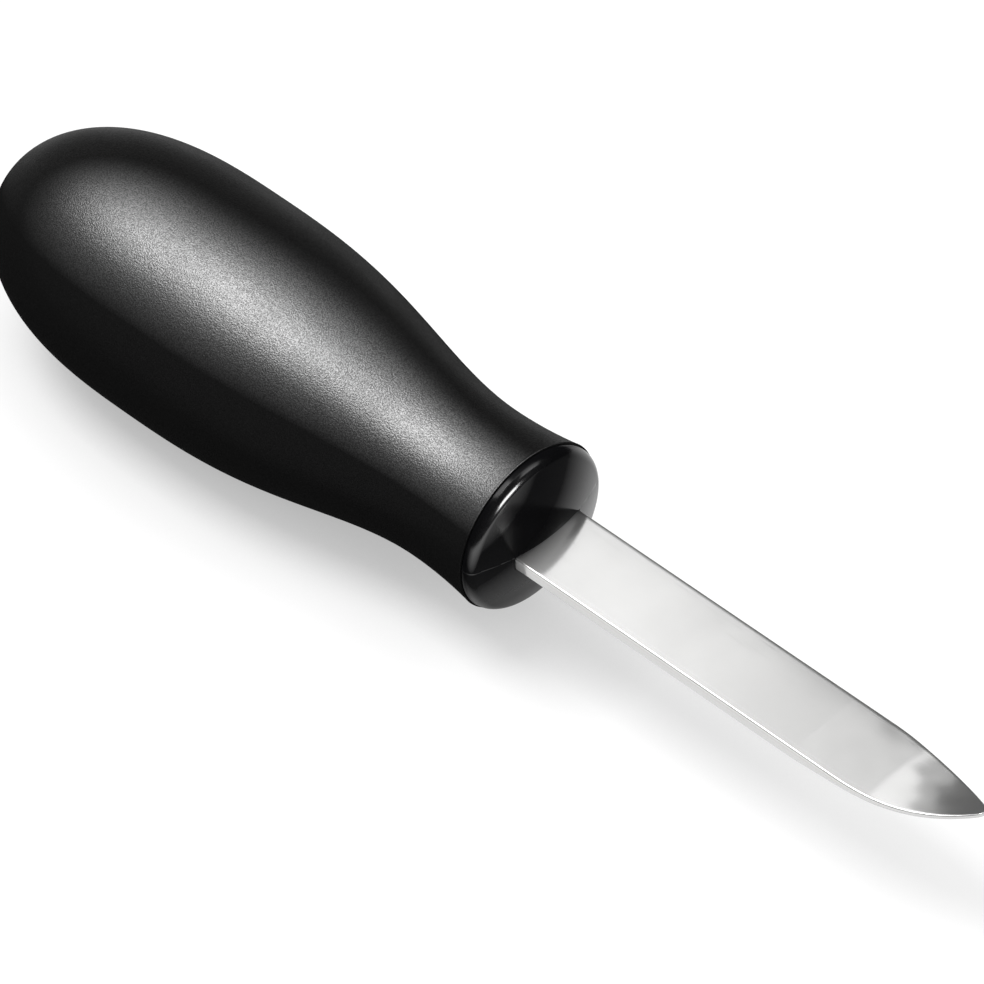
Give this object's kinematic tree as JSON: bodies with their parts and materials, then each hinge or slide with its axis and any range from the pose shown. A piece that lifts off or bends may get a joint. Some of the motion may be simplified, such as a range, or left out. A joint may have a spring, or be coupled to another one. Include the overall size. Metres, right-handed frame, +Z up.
{
  "type": "oyster knife",
  "caption": "Oyster knife: a short blunt spear-point blade with an upturned end, set in a fat oval soft-grip handle with a glossy domed collar.",
  "frame": {"origin": "below the middle of the knife's bounding box, level with the lowest point of the handle", "axes": "+X along the knife from butt to point, +Z up, out of the blade's upper flat, +Y across the blade"},
  "size_m": [0.171, 0.0354, 0.0341],
  "materials": {
    "blade_steel": "finely polished stainless sheet",
    "core_plastic": "glossy black moulded plastic",
    "grip_rubber": "matte black soft elastomer with a fine grain"
  },
  "bodies": {
    "root": {"blade": "blade_steel", "core_lower": "core_plastic", "core_upper": "core_plastic", "grip": "grip_rubber"}
  },
  "joints": []
}
